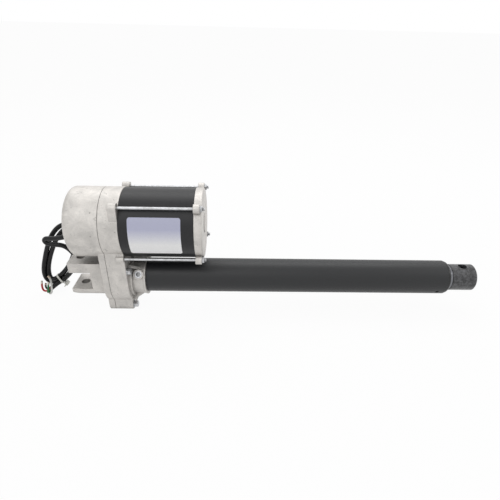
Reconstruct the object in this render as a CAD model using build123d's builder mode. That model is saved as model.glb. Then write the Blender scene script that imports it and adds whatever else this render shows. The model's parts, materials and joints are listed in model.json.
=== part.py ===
from build123d import *
from math import acos, cos, pi, radians, sin, sqrt, tan
import os

os.makedirs("parts", exist_ok=True)

# Frame: +X along the tube, +Z from the tube axis to the motor axis, origin at the rear clevis pin. Millimetres.

# Overall
pin_to_pin = 575.0
stroke = 304.8
mount_hole = 12.7

# Fits
running_gap = 0.05
seat_gap = 0.02
backlash = 0.12
gear_gap = 1.0
washer_step = 1.0

# Gears
first_module = 1.25
pinion_teeth = 16
wheel_teeth = 48
second_module = 1.5
idler_teeth = 20
output_teeth = 44
first_face = 7.0
second_face = 10.0
wheel_gap = 3.0
pressure_angle = radians(20)
idler_shaft_radius = 4.0
idler_bush_wall = 1.5
idler_bush_length = 8.0
idler_hub = 10.0
idler_boss_radius = 9.0
lightening_hole = 4.5
lightening_holes = 6
wheel_hole_circle = 19.0
output_hole_circle = 22.0

# Clevis
ear_end = -14.0
ear_width = 42.0
ear_thickness = 15.4
slot_gap = 28.5
slot_floor = 17.0
ear_corner = 1.5
ear_lower_chamfer = 11.0
ear_rear_chamfer = 5.0

# Motor
shell_length = 98.5
shell_radius = 49.0
shell_wall = 2.0
bell_thickness = 10.5
bell_lip = 0.5
bell_corner = 2.0
bell_hub_radius = 13.5
bell_hub_height = 1.2
spigot_length = 4.0
spigot_wall = 2.5
core_offset = 24.5
core_length = 50.0
stator_depth = 19.0
stator_slots = 24
slot_depth = 2.0
air_gap = 0.4
winding_overhang = 14.0
winding_step = 4.0
cage_ring = 4.0
cage_width = 9.5
motor_shaft_radius = 6.0
motor_shaft_start = 12.0
motor_bearing_outer = 16.0
motor_bearing_width = 10.0
motor_bearing_wall = 4.0
bell_web = 6.0
wave_washer = 1.5

# Tie rods
tie_rod_radius = 1.9
tie_rod_gap = 3.55
tie_rod_depth = 8.0
tie_rod_thread = 2.5
tie_lug_radius = 6.2
lower_lug_radius = 4.6
tie_lug_length = 10.5
tie_lug_flat = 5.0
tie_lug_drop = 16.0
tie_nut_radius = 4.4
tie_nut_height = 3.5
bell_lug_step = 2.0

# Gear case
case_rear_face = 40.0
rear_flange = 9.5
case_wall = 4.0
case_lip = 0.5
hub_overhang = 8.5
gasket_thickness = 0.5
can_corner = 8.0
can_wall = 4.5
wiring_gap = 3.46
foot_half_width = 29.5
foot_depth = 7.5
foot_corner = 7.0
case_edge = 1.2

# Case screws
case_screw_radius = 2.5
case_screw_clearance = 0.25
case_screw_head = 5.2
case_screw_head_height = 6.5
case_screw_start = 3.0
neck_screw_inset = 6.0
neck_screw_height = 26.5
foot_screw_inset = 7.5
foot_screw_height = 7.3
upper_screw_angles = (20, 90, 160)
head_gap = 0.3
screw_boss_radius = 7.0

# Brake
brake_opening = 30.0
brake_plate_radius = 33.0
brake_plate_thickness = 3.0
brake_pad_thickness = 5.0
brake_pad_gap = 0.5
brake_disc_thickness = 5.8
brake_disc_radius = 21.5
brake_gap = 0.1
brake_hub_radius = 10.0
brake_coil_radius = 29.0
brake_coil_length = 16.0
brake_coil_floor = 4.0
brake_coil_outer = 20.0
brake_coil_inner = 13.0
brake_lift = 0.44
armature_thickness = 3.6
brake_bore = 9.0
standoff_circle = 25.5
standoff_radius = 2.5
standoff_gap = 0.4
brake_spring_radius = 1.8
brake_spring_length = 6.0

# Drive screw and nut
thread_radius = 9.525
thread_chamfer = 1.0
screw_journal = 8.5
rear_journal = 5.0
rear_journal_recess = 3.0
rear_bearing_outer = 13.0
rear_bearing_width = 8.0
front_bearing_outer = 20.0
front_bearing_width = 12.0
front_bearing_wall = 4.0
ring_groove = 0.8
ring_thickness = 0.7
clutch_radius = 14.5
clutch_washer = 1.5
clutch_plate = 2.5
clutch_spring_stack = 3.5
clutch_spring_sheet = 1.0
clutch_spring_width = 3.0
clutch_nut = 4.0
clutch_gap = 0.5
collar_radius = 12.0
nut_gap = 14.0
nut_length = 45.0
nut_flange_length = 20.0
nut_flange_gap = 0.3
stop_gap = 1.2
stop_clearance = 0.475
stop_thickness = 6.0
screw_tip = 3.0

# Tubes and rod end
tube_outer = 25.4
tube_wall = 3.175
boss_wall = 3.1
boss_length = 22.0
boss_rim = 1.0
boss_rim_width = 2.5
boss_collar_radius = 33.0
boss_collar_length = 4.0
rib_angles = (50, 130, 238, 302)
rib_thickness = 4.0
rib_length = 15.0
rib_height = 11.0
rod_outer = 19.05
rod_wall = 3.175
rod_end_lip = 0.95
rod_end_behind_pin = 19.0
rod_end_beyond_pin = 18.2
rod_end_edge = 1.2
rod_spigot = 30.0
rod_gap = 4.3
rod_pin_radius = 3.0
rod_pin_inset = 16.0
rod_pin_recess = 0.3
bush_length = 26.5
bush_nose = 5.2
bush_nose_radius = 24.3
bush_nose_edge = 3.0
wiper_depth = 3.0
wiper_width = 2.2
wiper_recess = 0.4
bush_screw_inset = 11.9
bush_screw_angles = (30, 210)
bush_screw_radius = 2.5
bush_screw_recess = 1.2
bush_screw_depth = 1.0
bush_socket = 1.4
tube_screw_offset = 12.7
tube_screw_angle = 148.4
tube_screw_radius = 5.4
tube_screw_pad = 7.4
tube_screw_pad_height = 6.0
tube_screw_recess = 0.8
tube_socket = 3.6
tube_socket_depth = 3.5
socket_depth = 2.0

# Rating label
label_offset = 12.5
label_length = 69.0
label_half_angle = 33.0
label_corner = 3.0
label_thickness = 0.3

# Cable: points are chosen by hand
cable_radius = 3.6
gland_side = 8.0
gland_drop = 28.0
gland_radius = 6.0
gland_hex = 8.0
gland_hex_height = 4.0
gland_length = 12.0
gland_thread = 5.5
gland_thread_spare = 3.0
gland_nut_height = 2.4
hank_side = 30.0
hank_width = 17.0
hank_depth = 16.0
hank_edge = 4.5
hank_route = (
    (-37, 54), (-25, 66), (-14, 66), (-10, 44), (-23, 3), (-38, -18),
    (-57, -35), (-72, -36), (-74, -15), (-65.5, 7), (-58.5, 22), (-49, 41),
)
lead_route = (
    (-10, 8, 60), (-20, 8.5, 58), (-30, 11, 54.5), (-39, 13.5, 52), (-48, 16, 50.5), (-55.5, 18, 49.5),
    (-58, 18.7, 45), (-55, 19.2, 40.3), (-47, 19, 38.8), (-38, 19, 38.5), (-29.5, 21.5, 35), (-24, 24.5, 29),
)
tail_route = ((-57.4, 25, -35.8), (-60, 22, -37.5), (-63, 19, -39), (-66, 16.5, -41))
tie_place = (-50.5, -29.2)
tie_slope = 41.8
tie_width = 3.0
tie_thickness = 1.2
tie_gap = 0.3
tie_head = (5.5, 8.0)
tie_head_offset = 4.0
conductor_radius = 1.4
conductor_pitch = 1.55
conductor_exit = 4.0
conductor_routes = {
    "red": (-1, -1, (
        (-71.8, 12.9, -43.6), (-75.3, 12.6, -42.2), (-77, 12.7, -37.8), (-76.4, 13, -31), (-75, 13.3, -24.5),
    )),
    "black": (-1, 1, ((-73.6, 16.8, -39.5), (-73, 16.8, -35), (-71.6, 16.6, -31))),
    "green": (1, -1, (
        (-68.6, 9.8, -43.6), (-66.9, 8.2, -40.6), (-65.6, 8.6, -36), (-64.9, 10, -30.2), (-63.6, 11.2, -24.6),
    )),
    "white": (1, 1, (
        (-68.3, 13.6, -47.2), (-65.6, 11.3, -47.2), (-62.6, 10.2, -44), (-61.2, 9.8, -38.8), (-60.2, 10.2, -31),
        (-59.5, 11, -24), (-60.2, 12, -18.5), (-63, 12.6, -14),
    )),
}

# Places along X
chamber_start = case_rear_face + case_wall
output_start = chamber_start + clutch_gap + clutch_nut + clutch_spring_stack + clutch_plate + clutch_washer
output_end = output_start + second_face
wheel_end = output_start - wheel_gap
wheel_start = wheel_end - first_face
bearing_hub_start = output_end + gear_gap
front_bearing_start = bearing_hub_start + washer_step
front_bearing_end = front_bearing_start + front_bearing_width
tube_start = front_bearing_end + washer_step
case_front_face = bearing_hub_start + hub_overhang
chamber_end = case_front_face - case_wall
case_seam = case_rear_face + rear_flange
seam_rear = case_seam - gasket_thickness / 2
seam_front = case_seam + gasket_thickness / 2
rear_bearing_start = chamber_start - rear_bearing_width - rear_journal_recess
shell_end = case_front_face + shell_length
bell_face = shell_end + bell_thickness
core_start = case_front_face + core_offset
core_end = core_start + core_length
motor_bearing_start = chamber_end + spigot_wall
bell_bearing_start = bell_face - bell_web - wave_washer - motor_bearing_width
wave_start = bell_bearing_start + motor_bearing_width
brake_plate_start = chamber_start - brake_plate_thickness
pad_face = brake_plate_start - brake_pad_thickness
disc_start = pad_face - brake_gap - brake_disc_thickness
armature_start = disc_start - brake_gap - armature_thickness
coil_end = armature_start - brake_lift
coil_start = coil_end - brake_coil_length
can_end = coil_start - wiring_gap - can_wall
tie_nut_start = bell_face - bell_lug_step
tie_nut_end = tie_nut_start + tie_nut_height
nut_start = tube_start + nut_gap
nut_step = nut_start + nut_flange_length
nut_end = nut_start + nut_length
stop_start = nut_end + stroke + stop_gap
stop_end = stop_start + stop_thickness
screw_end = stop_end + screw_tip
rod_end_start = pin_to_pin - rod_end_behind_pin
rod_end_face = pin_to_pin + rod_end_beyond_pin
bush_face = rod_end_start - rod_gap
tube_end = bush_face - bush_nose
bush_start = tube_end - bush_length
bush_screw_x = tube_end - bush_screw_inset
rod_pin_x = rod_end_start - rod_pin_inset
tube_screw_x = case_front_face + tube_screw_offset
label_start = case_front_face + label_offset
label_end = label_start + label_length

# Heights and radii
output_reach = (output_teeth + 2) * second_module / 2
idler_height = (idler_teeth + output_teeth) * second_module / 2
motor_height = idler_height + (pinion_teeth + wheel_teeth) * first_module / 2
neck_half_width = output_reach + gear_gap + case_wall
foot_bottom = -neck_half_width - foot_depth
can_radius = shell_radius + case_lip
can_inner = can_radius - can_wall
bell_radius = shell_radius + bell_lip
shell_inner = shell_radius - shell_wall
stator_bore = shell_inner - stator_depth
spigot_inner = shell_inner - spigot_wall
motor_bearing_hub = motor_bearing_outer + motor_bearing_wall
rotor_radius = stator_bore - air_gap
tube_inner = tube_outer - tube_wall
boss_radius = tube_outer + boss_wall
rod_inner = rod_outer - rod_wall
rod_end_radius = rod_outer + rod_end_lip
idler_bore = idler_shaft_radius + idler_bush_wall
gland_height = motor_height - gland_drop
upper_screw_circle = spigot_inner - case_screw_head - head_gap
tie_rod_circle = shell_radius + tie_rod_gap + tie_rod_radius
tie_rod_offset = tie_rod_circle / sqrt(2)

motor_axis = Axis((0, 0, motor_height), (1, 0, 0))
idler_axis = Axis((0, 0, idler_height), (1, 0, 0))
tube_axis = Axis((0, 0, 0), (1, 0, 0))
motor_spot = [(0, motor_height)]
idler_spot = [(0, idler_height)]
tube_spot = [(0, 0)]
gland_spot = [(gland_side, gland_height)]


def around_motor(radius, angles):
    """(y, z) spots on a circle about the motor axis."""
    return [(radius * cos(radians(a)), motor_height + radius * sin(radians(a))) for a in angles]


tie_spots = around_motor(tie_rod_circle, (45, 135, 225, 315))
upper_tie_spots = tie_spots[:2]
lower_tie_spots = tie_spots[2:]
upper_spots = around_motor(upper_screw_circle, upper_screw_angles)
neck_spots = [(side * (neck_half_width - neck_screw_inset), neck_screw_height) for side in (-1, 1)]
foot_spots = [(side * (foot_half_width - foot_screw_inset), foot_bottom + foot_screw_height) for side in (-1, 1)]
lower_spots = neck_spots + foot_spots
standoff_spots = around_motor(standoff_circle, (90, 210, 330))
spring_spots = around_motor(standoff_circle, (30, 150, 270))


def disc(start, end, radius, spots, mode=Mode.ADD):
    """Round bar along X at each (y, z) spot."""
    with BuildSketch(Plane.YZ.offset(start)) as section:
        with Locations(*spots):
            Circle(radius)
    extrude(section.sketch, amount=end - start, mode=mode)


def hexagon(start, end, radius, spots, mode=Mode.ADD):
    """Hexagonal bar along X at each (y, z) spot."""
    with BuildSketch(Plane.YZ.offset(start)) as section:
        with Locations(*spots):
            RegularPolygon(radius, 6)
    extrude(section.sketch, amount=end - start, mode=mode)


def turned(profile, axis, mode=Mode.ADD):
    """Solid of revolution from (x, radius) corners about an axis along X."""
    height = axis.position.Z
    with BuildSketch(Plane.XZ) as section:
        with BuildLine():
            Polyline(*[(x, height + radius) for x, radius in profile], close=True)
        make_face()
    revolve(section.sketch, axis=axis, mode=mode)


def ring(start, end, outer, inner, axis, mode=Mode.ADD):
    turned([(start, inner), (end, inner), (end, outer), (start, outer)], axis, mode)


def radial_bar(x, start, end, radius, angle, mode=Mode.ADD):
    """Round bar pointing away from the tube axis, at an angle in degrees from +Y."""
    outward = Vector(0, cos(radians(angle)), sin(radians(angle)))
    with BuildSketch(Plane(Vector(x, 0, 0) + outward * start, x_dir=(1, 0, 0), z_dir=outward)) as section:
        Circle(radius)
    extrude(section.sketch, amount=end - start, mode=mode)


def radial_socket(x, start, end, radius, angle):
    """Hexagonal socket cut towards the tube axis."""
    outward = Vector(0, cos(radians(angle)), sin(radians(angle)))
    with BuildSketch(Plane(Vector(x, 0, 0) + outward * start, x_dir=(1, 0, 0), z_dir=outward)) as section:
        RegularPolygon(radius, 6)
    extrude(section.sketch, amount=end - start, mode=Mode.SUBTRACT)


def upright_hole(x, radius, reach):
    """Hole along Z through a piece on the tube axis."""
    with BuildSketch(Plane.XY) as section:
        with Locations((x, 0)):
            Circle(radius)
    extrude(section.sketch, amount=reach, both=True, mode=Mode.SUBTRACT)


def body_section(inset=0.0):
    """Circle about the motor, neck, and circle about the screw."""
    with BuildSketch(Plane.XY) as outline:
        with Locations((0, motor_height)):
            Circle(can_radius - inset)
        with Locations((0, motor_height / 2)):
            Rectangle(2 * (neck_half_width - inset), motor_height)
        Circle(neck_half_width - inset)
    return outline.sketch


def case_section(plane):
    with BuildSketch(plane) as outline:
        with Locations((0, foot_bottom / 2)):
            Rectangle(2 * foot_half_width, -foot_bottom)
        fillet(outline.vertices().group_by(Axis.Y)[0], foot_corner)
        add(body_section())
    return outline.sketch


def chamber_section(plane):
    """Gear chamber: the case outline less its wall and the screw bosses."""
    with BuildSketch(plane) as outline:
        add(body_section(case_wall))
        with Locations(*(lower_spots + upper_spots)):
            Circle(screw_boss_radius, mode=Mode.SUBTRACT)
    return outline.sketch


def gear(start, end, teeth, module, first_tooth, height, bore):
    """Involute spur gear with its first tooth at an angle in degrees from +Y."""
    pitch = module * teeth / 2
    base = pitch * cos(pressure_angle)
    tip = pitch + module
    root = pitch - 1.25 * module
    flank_start = max(base, root)
    half_tooth = (pi / teeth - backlash / pitch) / 2 + tan(pressure_angle) - pressure_angle
    step = 2 * pi / teeth

    def half_angle(radius):
        roll = acos(min(1.0, base / radius))
        return half_tooth - (tan(roll) - roll)

    def at(radius, angle):
        return (radius * cos(angle), height + radius * sin(angle))

    middle = (flank_start + tip) / 2
    foot_angle = half_angle(flank_start)
    middle_angle = half_angle(middle)
    tip_angle = half_angle(tip)
    with BuildSketch(Plane.YZ.offset(start)) as section:
        with BuildLine():
            for number in range(teeth):
                turn = radians(first_tooth) + number * step
                if root < flank_start:
                    Line(at(root, turn - foot_angle), at(flank_start, turn - foot_angle))
                    Line(at(flank_start, turn + foot_angle), at(root, turn + foot_angle))
                for side in (-1, 1):
                    ThreePointArc(
                        at(flank_start, turn + side * foot_angle),
                        at(middle, turn + side * middle_angle),
                        at(tip, turn + side * tip_angle),
                    )
                ThreePointArc(at(tip, turn - tip_angle), at(tip, turn), at(tip, turn + tip_angle))
                gap_end = turn + step - foot_angle
                ThreePointArc(at(root, turn + foot_angle), at(root, turn + step / 2), at(root, gap_end))
        make_face()
        with Locations((0, height)):
            Circle(bore, mode=Mode.SUBTRACT)
    extrude(section.sketch, amount=end - start)


def gear_holes(start, end, circle, height):
    with BuildSketch(Plane.YZ.offset(start)) as section:
        with Locations((0, height)):
            with PolarLocations(circle, lightening_holes):
                Circle(lightening_hole)
    extrude(section.sketch, amount=end - start, mode=Mode.SUBTRACT)


def ball_bearing(start, width, outer, bore, axis):
    """Outer ring, inner ring and balls, each a separate solid."""
    race = (outer - bore) * 0.28
    ball = (outer - bore) * 0.26
    track = (outer + bore) / 2
    middle = start + width / 2
    count = int(2 * pi * track / (2.5 * ball))
    ring(start, start + width, outer, outer - race, axis)
    ring(start, start + width, bore + race, bore, axis)
    with BuildSketch(Plane.XZ) as groove:
        with Locations((middle, axis.position.Z + track)):
            Circle(ball + running_gap)
    revolve(groove.sketch, axis=axis, mode=Mode.SUBTRACT)
    for number in range(count):
        angle = 2 * pi * number / count
        with Locations((middle, track * cos(angle), axis.position.Z + track * sin(angle))):
            Sphere(ball)


def corner_radius(before, here, after):
    """0.45 of the shorter run over the tangent of half the turn."""
    inward = Vector(*here) - Vector(*before)
    outward = Vector(*after) - Vector(*here)
    return 0.45 * min(inward.length, outward.length) / tan(radians(inward.get_angle(outward)) / 2)


def cord(points, radius, name):
    """Round tube along straight runs joined by tangent arcs."""
    radii = [corner_radius(*corner) for corner in zip(points, points[1:], points[2:])]
    with BuildLine() as path:
        FilletPolyline(*points, radius=radii)
    route = path.wire()
    with BuildSketch(Plane(route @ 0, z_dir=route % 0)) as section:
        Circle(radius)
    tube = sweep(section.sketch, path=route)
    ratio = tube.volume / (pi * radius ** 2 * route.length)
    print(name, "radii", [round(r, 1) for r in radii], "length", round(route.length, 1), "volume ratio", round(ratio, 4))


# Rear case half: flange, round can and clevis in one casting
with BuildPart() as gear_case_rear:
    extrude(case_section(Plane.YZ.offset(case_rear_face)), amount=seam_rear - case_rear_face)
    chamfer(gear_case_rear.edges().group_by(Axis.X)[0], case_edge)
    disc(can_end, seam_rear, can_radius, motor_spot)
    fillet(gear_case_rear.edges().group_by(Axis.X)[0], can_corner)
    with BuildSketch(Plane.YZ.offset(ear_end)) as clevis_block:
        Rectangle(ear_width, slot_gap + 2 * ear_thickness)
        chamfer(clevis_block.vertices().group_by(Axis.Y)[0], ear_lower_chamfer)
    extrude(amount=case_rear_face + case_edge - ear_end)
    chamfer(gear_case_rear.edges().group_by(Axis.X)[0].group_by(Axis.Z)[0], ear_rear_chamfer)
    chamfer(gear_case_rear.edges().group_by(Axis.X)[0].filter_by(Axis.Z), ear_corner)
    with BuildSketch(Plane.XZ) as clevis_slot:
        with Locations((slot_floor / 2 + ear_end, 0)):
            Rectangle(slot_floor - 2 * ear_end, slot_gap)
    extrude(amount=ear_width, both=True, mode=Mode.SUBTRACT)
    with BuildSketch(Plane.XY) as pin_hole:
        Circle(mount_hole / 2)
    extrude(amount=slot_gap / 2 + ear_thickness, both=True, mode=Mode.SUBTRACT)
    extrude(chamber_section(Plane.YZ.offset(chamber_start)), amount=seam_rear - chamber_start, mode=Mode.SUBTRACT)
    disc(can_end + can_wall, case_rear_face, can_inner, motor_spot, Mode.SUBTRACT)
    disc(case_rear_face - case_wall, case_rear_face, idler_boss_radius, idler_spot)
    disc(case_rear_face, chamber_start, brake_opening, motor_spot, Mode.SUBTRACT)
    disc(brake_plate_start, chamber_start, brake_plate_radius, motor_spot, Mode.SUBTRACT)
    disc(case_rear_face - case_wall / 2, chamber_start, idler_shaft_radius, idler_spot, Mode.SUBTRACT)
    disc(rear_bearing_start, chamber_start, rear_bearing_outer, tube_spot, Mode.SUBTRACT)
    disc(rear_bearing_start - rear_journal_recess, rear_bearing_start, rear_journal + 2 * washer_step, tube_spot,
         Mode.SUBTRACT)
    disc(case_rear_face + case_wall / 2, seam_rear, case_screw_radius, lower_spots + upper_spots, Mode.SUBTRACT)
    disc(can_end, can_end + can_wall, gland_thread, gland_spot, Mode.SUBTRACT)
gear_case_rear.part.label = "gear_case_rear"
export_step(gear_case_rear.part, "parts/gear_case_rear.step")

# Front case half: gear chamber, bearing hubs, tie-rod lugs and tube boss in one casting
with BuildPart() as gear_case_front:
    extrude(case_section(Plane.YZ.offset(seam_front)), amount=case_front_face - seam_front)
    fillet(gear_case_front.edges().group_by(Axis.X)[-1], case_edge)
    disc(case_front_face - tie_lug_length, case_front_face, tie_lug_radius, upper_tie_spots)
    disc(case_front_face - tie_lug_length, case_front_face, lower_lug_radius, lower_tie_spots)
    with BuildSketch(Plane.YZ.offset(case_front_face - tie_lug_length)) as lug_flats:
        for side, height in upper_tie_spots:
            outward = 1 if side > 0 else -1
            with Locations((side + outward * (tie_lug_radius - tie_lug_flat), height - tie_lug_drop / 2)):
                Rectangle(2 * tie_lug_flat, tie_lug_drop)
    extrude(amount=tie_lug_length)
    extrude(chamber_section(Plane.YZ.offset(seam_front)), amount=chamber_end - seam_front, mode=Mode.SUBTRACT)
    disc(bearing_hub_start, case_front_face, front_bearing_outer + front_bearing_wall, tube_spot)
    disc(bearing_hub_start, chamber_end, idler_boss_radius, idler_spot)
    disc(case_front_face, case_front_face + boss_collar_length, boss_collar_radius, tube_spot)
    disc(case_front_face, case_front_face + boss_length, boss_radius, tube_spot)
    disc(case_front_face + boss_length - boss_rim_width, case_front_face + boss_length, boss_radius + boss_rim,
         tube_spot)
    disc(case_front_face, motor_bearing_start + motor_bearing_width, motor_bearing_hub, motor_spot)
    ring(case_front_face, case_front_face + spigot_length, shell_inner, spigot_inner, motor_axis)
    for angle in rib_angles:
        rib_side = (0, -sin(radians(angle)), cos(radians(angle)))
        with BuildSketch(Plane((case_front_face, 0, 0), x_dir=(1, 0, 0), z_dir=rib_side)) as rib:
            with BuildLine():
                Polyline(
                    (-case_edge, boss_radius - boss_wall / 2), (-case_edge, boss_radius + rib_height),
                    (case_edge, boss_radius + rib_height - case_edge), (rib_length, boss_radius + boss_rim / 2),
                    (rib_length, boss_radius - boss_wall / 2), close=True,
                )
            make_face()
        extrude(amount=rib_thickness / 2, both=True)
    radial_bar(tube_screw_x, tube_outer, tube_outer + tube_screw_pad_height, tube_screw_pad, tube_screw_angle)
    disc(tube_start, case_front_face + boss_length, tube_outer + seat_gap, tube_spot, Mode.SUBTRACT)
    disc(front_bearing_start, front_bearing_end, front_bearing_outer, tube_spot, Mode.SUBTRACT)
    disc(bearing_hub_start, front_bearing_start, front_bearing_outer - 2 * ring_groove, tube_spot, Mode.SUBTRACT)
    disc(front_bearing_start - ring_thickness, front_bearing_start, front_bearing_outer + ring_groove, tube_spot,
         Mode.SUBTRACT)
    disc(front_bearing_end, tube_start, front_bearing_outer - front_bearing_wall, tube_spot, Mode.SUBTRACT)
    disc(chamber_end, case_front_face, brake_bore, motor_spot, Mode.SUBTRACT)
    disc(motor_bearing_start, motor_bearing_start + motor_bearing_width, motor_bearing_outer, motor_spot,
         Mode.SUBTRACT)
    disc(bearing_hub_start, chamber_end + case_wall / 2, idler_shaft_radius, idler_spot, Mode.SUBTRACT)
    disc(seam_front, case_front_face, case_screw_radius + case_screw_clearance, lower_spots + upper_spots,
         Mode.SUBTRACT)
    disc(case_front_face - tie_rod_depth, case_front_face, tie_rod_radius, tie_spots, Mode.SUBTRACT)
    radial_bar(tube_screw_x, tube_inner, tube_outer + tube_screw_pad_height, tube_screw_radius, tube_screw_angle,
               Mode.SUBTRACT)
gear_case_front.part.label = "gear_case_front"
export_step(gear_case_front.part, "parts/gear_case_front.step")

with BuildPart() as case_gasket:
    with BuildSketch(Plane.YZ.offset(seam_rear)) as gasket_section:
        add(case_section(Plane.XY))
        add(chamber_section(Plane.XY), mode=Mode.SUBTRACT)
        with Locations(*(lower_spots + upper_spots)):
            Circle(case_screw_radius + case_screw_clearance, mode=Mode.SUBTRACT)
    extrude(amount=gasket_thickness)
case_gasket.part.label = "case_gasket"
export_step(case_gasket.part, "parts/case_gasket.step")

with BuildPart() as case_screws:
    disc(case_rear_face + case_screw_start, case_front_face, case_screw_radius, lower_spots + upper_spots)
    hexagon(case_front_face, case_front_face + case_screw_head_height, case_screw_head, lower_spots + upper_spots)
case_screws.part.label = "case_screws"
export_step(case_screws.part, "parts/case_screws.step")

# Motor
with BuildPart() as motor_shell:
    ring(case_front_face, shell_end, shell_radius, shell_inner, motor_axis)
motor_shell.part.label = "motor_shell"
export_step(motor_shell.part, "parts/motor_shell.step")

with BuildPart() as motor_end_bell:
    disc(shell_end, bell_face, bell_radius, motor_spot)
    fillet(motor_end_bell.edges().group_by(Axis.X)[-1], bell_corner)
    disc(shell_end, tie_nut_start, tie_lug_radius, tie_spots)
    disc(bell_face, bell_face + bell_hub_height, bell_hub_radius, motor_spot)
    fillet(motor_end_bell.edges().group_by(Axis.X)[-1], bell_hub_height / 2)
    ring(shell_end - spigot_length, shell_end, shell_inner, spigot_inner, motor_axis)
    disc(bell_bearing_start, shell_end, motor_bearing_hub, motor_spot)
    disc(bell_bearing_start, wave_start + wave_washer, motor_bearing_outer, motor_spot, Mode.SUBTRACT)
    disc(shell_end, tie_nut_start, tie_rod_radius + case_screw_clearance, tie_spots, Mode.SUBTRACT)
motor_end_bell.part.label = "motor_end_bell"
export_step(motor_end_bell.part, "parts/motor_end_bell.step")

with BuildPart() as tie_rods:
    disc(case_front_face - tie_rod_depth, tie_nut_end + tie_rod_thread, tie_rod_radius, tie_spots)
tie_rods.part.label = "tie_rods"
export_step(tie_rods.part, "parts/tie_rods.step")

with BuildPart() as tie_rod_nuts:
    hexagon(tie_nut_start, tie_nut_end, tie_nut_radius, tie_spots)
    disc(tie_nut_start, tie_nut_end, tie_rod_radius, tie_spots, Mode.SUBTRACT)
tie_rod_nuts.part.label = "tie_rod_nuts"
export_step(tie_rod_nuts.part, "parts/tie_rod_nuts.step")

with BuildPart() as rating_label:
    ring(label_start, label_end, shell_radius + running_gap + label_thickness, shell_radius + running_gap, motor_axis)
    with BuildSketch(Plane.XZ.offset(can_radius)) as label_window:
        with Locations(((label_start + label_end) / 2, motor_height)):
            RectangleRounded(label_length, 2 * shell_radius * sin(radians(label_half_angle)), label_corner)
    extrude(amount=-can_radius, mode=Mode.INTERSECT)
rating_label.part.label = "rating_label"
export_step(rating_label.part, "parts/rating_label.step")

with BuildPart() as stator_core:
    ring(core_start, core_end, shell_inner, stator_bore, motor_axis)
    with BuildSketch(Plane.YZ.offset(core_start)) as stator_slot_section:
        with Locations((0, motor_height)):
            with PolarLocations(stator_bore, stator_slots):
                Rectangle(2 * slot_depth, slot_depth)
    extrude(amount=core_length, mode=Mode.SUBTRACT)
stator_core.part.label = "stator_core"
export_step(stator_core.part, "parts/stator_core.step")

with BuildPart() as stator_windings:
    for start in (core_start - winding_overhang, core_end):
        ring(start, start + winding_overhang, shell_inner - winding_step, stator_bore + winding_step, motor_axis)
    fillet(stator_windings.edges().group_by(Axis.X)[0], winding_step)
    fillet(stator_windings.edges().group_by(Axis.X)[-1], winding_step)
stator_windings.part.label = "stator_windings"
export_step(stator_windings.part, "parts/stator_windings.step")

with BuildPart() as motor_bearing_front:
    ball_bearing(motor_bearing_start, motor_bearing_width, motor_bearing_outer, motor_shaft_radius + seat_gap,
                 motor_axis)
motor_bearing_front.part.label = "motor_bearing_front"
export_step(motor_bearing_front.part, "parts/motor_bearing_front.step")

with BuildPart() as motor_bearing_end:
    ball_bearing(bell_bearing_start, motor_bearing_width, motor_bearing_outer, motor_shaft_radius + seat_gap,
                 motor_axis)
motor_bearing_end.part.label = "motor_bearing_end"
export_step(motor_bearing_end.part, "parts/motor_bearing_end.step")

with BuildPart() as bearing_wave_washer:
    ring(wave_start, wave_start + wave_washer, motor_bearing_outer - seat_gap, motor_bearing_outer - 2 * spigot_wall,
         motor_axis)
bearing_wave_washer.part.label = "bearing_wave_washer"
export_step(bearing_wave_washer.part, "parts/bearing_wave_washer.step")

with BuildPart() as motor_shaft:
    disc(motor_shaft_start, wave_start, motor_shaft_radius, motor_spot)
    chamfer(motor_shaft.edges().filter_by(GeomType.CIRCLE), case_edge / 2)
motor_shaft.part.label = "motor_shaft"
export_step(motor_shaft.part, "parts/motor_shaft.step")

with BuildPart() as rotor_core:
    ring(core_start, core_end, rotor_radius, motor_shaft_radius, motor_axis)
rotor_core.part.label = "rotor_core"
export_step(rotor_core.part, "parts/rotor_core.step")

with BuildPart() as rotor_cage:
    for start in (core_start - cage_ring, core_end):
        ring(start, start + cage_ring, rotor_radius - air_gap, rotor_radius - air_gap - cage_width, motor_axis)
rotor_cage.part.label = "rotor_cage"
export_step(rotor_cage.part, "parts/rotor_cage.step")

with BuildPart() as motor_pinion:
    gear(wheel_start, wheel_end, pinion_teeth, first_module, 270 + 180 / pinion_teeth, motor_height,
         motor_shaft_radius)
motor_pinion.part.label = "motor_pinion"
export_step(motor_pinion.part, "parts/motor_pinion.step")

# Spring-set brake in the can
with BuildPart() as brake_plate:
    ring(brake_plate_start, chamber_start, brake_plate_radius, brake_bore, motor_axis)
    ring(pad_face, brake_plate_start, brake_opening - brake_pad_gap, brake_bore, motor_axis)
brake_plate.part.label = "brake_plate"
export_step(brake_plate.part, "parts/brake_plate.step")

with BuildPart() as brake_hub:
    hexagon(disc_start - washer_step, pad_face - washer_step, brake_hub_radius, motor_spot)
    disc(disc_start - washer_step, pad_face - washer_step, motor_shaft_radius, motor_spot, Mode.SUBTRACT)
brake_hub.part.label = "brake_hub"
export_step(brake_hub.part, "parts/brake_hub.step")

with BuildPart() as brake_disc:
    disc(disc_start, disc_start + brake_disc_thickness, brake_disc_radius, motor_spot)
    hexagon(disc_start, disc_start + brake_disc_thickness, brake_hub_radius + running_gap, motor_spot, Mode.SUBTRACT)
brake_disc.part.label = "brake_disc"
export_step(brake_disc.part, "parts/brake_disc.step")

with BuildPart() as brake_armature:
    ring(armature_start, armature_start + armature_thickness, brake_coil_radius, brake_hub_radius + washer_step,
         motor_axis)
    disc(armature_start, armature_start + armature_thickness, standoff_radius + standoff_gap, standoff_spots,
         Mode.SUBTRACT)
brake_armature.part.label = "brake_armature"
export_step(brake_armature.part, "parts/brake_armature.step")

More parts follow.
